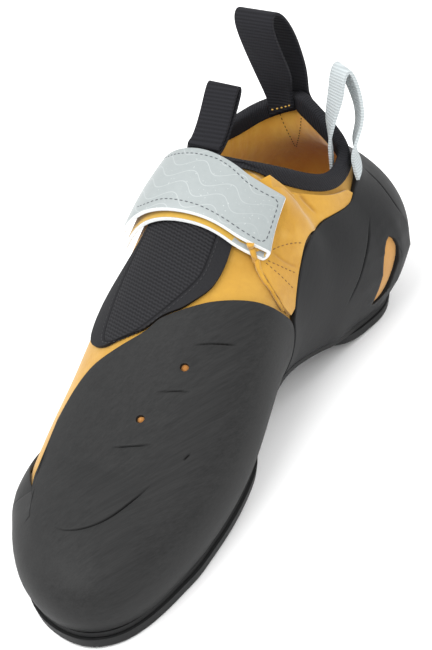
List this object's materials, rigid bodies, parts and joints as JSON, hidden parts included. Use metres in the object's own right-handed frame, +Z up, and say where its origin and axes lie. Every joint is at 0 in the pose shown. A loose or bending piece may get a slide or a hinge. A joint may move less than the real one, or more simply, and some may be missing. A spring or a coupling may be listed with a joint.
{
  "type": "climbing shoe",
  "caption": "Downturned rock climbing shoe for the right foot: hollow leather upper, rubber over toe and heel, folded strap, mesh tongue, pull loops and a split sole.",
  "frame": {"origin": "centre of the bounding box's underside, on the floor that the shoe stands on", "axes": "+Z up, toe along -Y, heel along +Y, inner (big toe) side along +X"},
  "size_m": [0.0857, 0.2505, 0.1269],
  "materials": {
    "leather": "napped",
    "toe_rubber": "satin",
    "heel_rubber": "satin",
    "lateral_rand": "satin",
    "tongue_panel": "ribbed",
    "medial_quarter": "napped",
    "collar_binding": "ribbed",
    "heel_loop": "ribbed",
    "side_loop": "ribbed",
    "tongue_tab": "ribbed",
    "strap": "smooth",
    "strap_keeper": "napped",
    "midsole": "satin",
    "outsole_front": "satin",
    "outsole_heel": "satin",
    "insole": "brushed"
  },
  "bodies": {
    "root": {"upper": "leather", "toe_rubber": "toe_rubber", "heel_rubber": "heel_rubber", "lateral_rand": "lateral_rand", "tongue_panel": "tongue_panel", "medial_quarter": "medial_quarter", "collar_binding": "collar_binding", "heel_loop": "heel_loop", "side_loop": "side_loop", "tongue_tab": "tongue_tab", "strap": "strap", "strap_keeper": "strap_keeper", "midsole": "midsole", "outsole_front": "outsole_front", "outsole_heel": "outsole_heel", "insole": "insole"}
  },
  "joints": []
}
